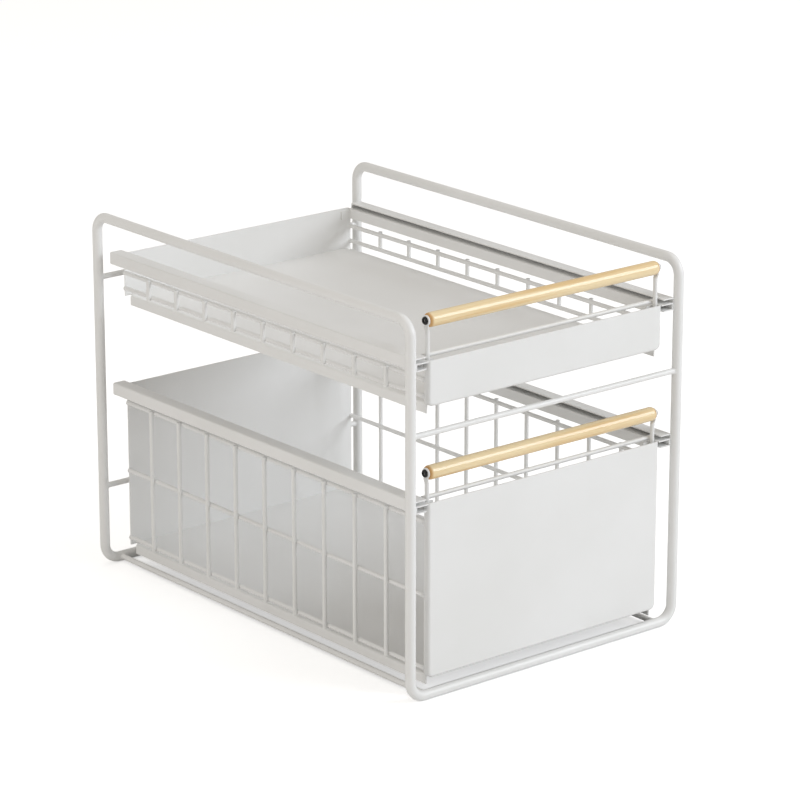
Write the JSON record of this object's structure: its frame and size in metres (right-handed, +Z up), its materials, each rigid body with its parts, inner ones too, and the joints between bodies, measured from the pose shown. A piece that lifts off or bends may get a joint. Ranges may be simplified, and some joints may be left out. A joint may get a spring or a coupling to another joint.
{
  "type": "pull out cabinet basket",
  "caption": "Free-standing tube rack with stacked wire-sided baskets that pull out to the front on channel rails by wooden handle bars.",
  "frame": {"origin": "middle of the rack's footprint, on the surface it stands on", "axes": "+X to the rack's right as seen by its user, +Y from the front to the back, +Z up"},
  "size_m": [0.272, 0.398, 0.298],
  "materials": {
    "tube": "satin white coating",
    "rail": "satin white coating",
    "sheet": "satin white coating",
    "wire": "satin white coating",
    "runner": "satin white coating",
    "wood": "oiled light wood with dark ends",
    "screw": "black oxide"
  },
  "bodies": {
    "frame": {"left_side_tube": "tube", "right_side_tube": "tube", "front_cross_bar": "tube", "upper_rear_rod": "tube", "lower_rear_rod": "tube", "bottom_wire_left": "tube", "bottom_wire_right": "tube", "upper_left_rail": "rail", "upper_right_rail": "rail", "lower_left_rail": "rail", "lower_right_rail": "rail", "upper_rail_hangers": "tube", "lower_rail_hangers": "tube"},
    "upper_basket": {"upper_front_panel": "sheet", "upper_back_panel": "sheet", "upper_tray": "sheet", "upper_left_grid": "wire", "upper_right_grid": "wire", "upper_front_wire": "wire", "upper_left_handle_post": "wire", "upper_right_handle_post": "wire", "upper_handle_bar": "wood", "upper_handle_screws": "screw", "upper_left_runner": "runner", "upper_right_runner": "runner"},
    "lower_basket": {"lower_front_panel": "sheet", "lower_back_panel": "sheet", "lower_tray": "sheet", "lower_left_grid": "wire", "lower_right_grid": "wire", "lower_front_wire": "wire", "lower_left_handle_post": "wire", "lower_right_handle_post": "wire", "lower_handle_bar": "wood", "lower_handle_screws": "screw", "lower_left_runner": "runner", "lower_right_runner": "runner"}
  },
  "joints": [
    {"name": "upper_basket_slide", "type": "slide", "parent": "frame", "child": "upper_basket", "axis": [0, -1, 0], "range_m": [0, 0.29]},
    {"name": "lower_basket_slide", "type": "slide", "parent": "frame", "child": "lower_basket", "axis": [0, -1, 0], "range_m": [0, 0.29]}
  ]
}
